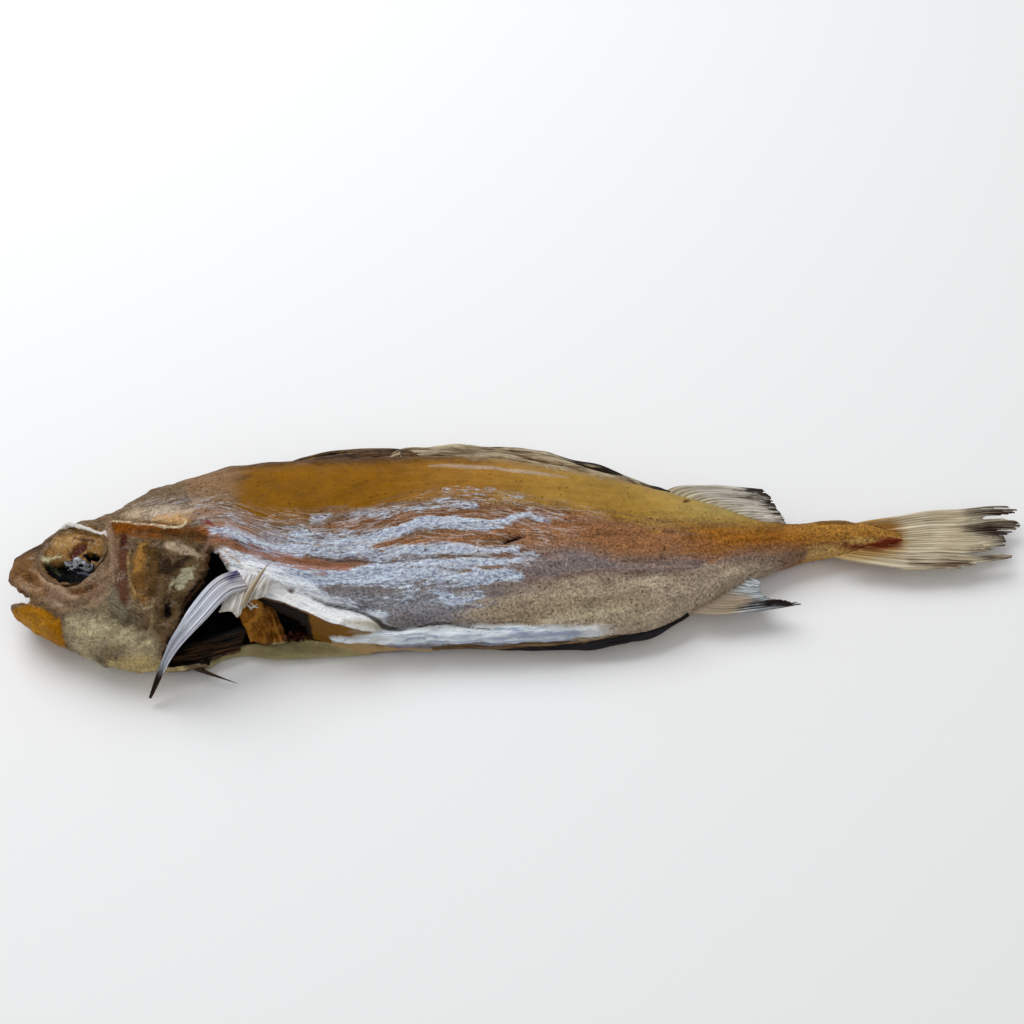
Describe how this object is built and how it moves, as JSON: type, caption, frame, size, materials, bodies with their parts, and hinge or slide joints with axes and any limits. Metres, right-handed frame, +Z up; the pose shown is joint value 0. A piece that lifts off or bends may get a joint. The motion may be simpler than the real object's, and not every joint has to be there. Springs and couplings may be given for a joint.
{
  "type": "dried salted pouting",
  "caption": "Whole dried salted fish with its head on, gutted, lying on its side with the belly slit and gills gaping, a curled breast fin and a ragged tail fin.",
  "frame": {"origin": "centre of the bounding box in plan, on the surface that the fish lies on", "axes": "+X from the snout to the tail, +Y from the belly to the back, +Z up through the left flank"},
  "size_m": [0.2626, 0.067, 0.0251],
  "materials": {
    "skin": "dried fish skin, amber on the back and silvery grey on the belly, satin",
    "fin": "dried fin skin and rays, matt, dark at the tips",
    "dark_fin": "dark dried fin, folded flat, matt",
    "eye": "dried eye tissue, amber above and black below, glossy",
    "innards": "dried amber tissue, glossy"
  },
  "bodies": {
    "root": {"carcass": "skin", "eye_left": "eye", "eye_right": "eye", "innards": "innards", "dorsal_fin_1": "dark_fin", "dorsal_fin_2": "dark_fin", "dorsal_fin_3": "fin", "anal_fin_1": "dark_fin", "anal_fin_2": "fin", "caudal_fin": "fin", "pectoral_fin": "fin", "pectoral_web": "fin", "pelvic_fin": "dark_fin"}
  },
  "joints": []
}
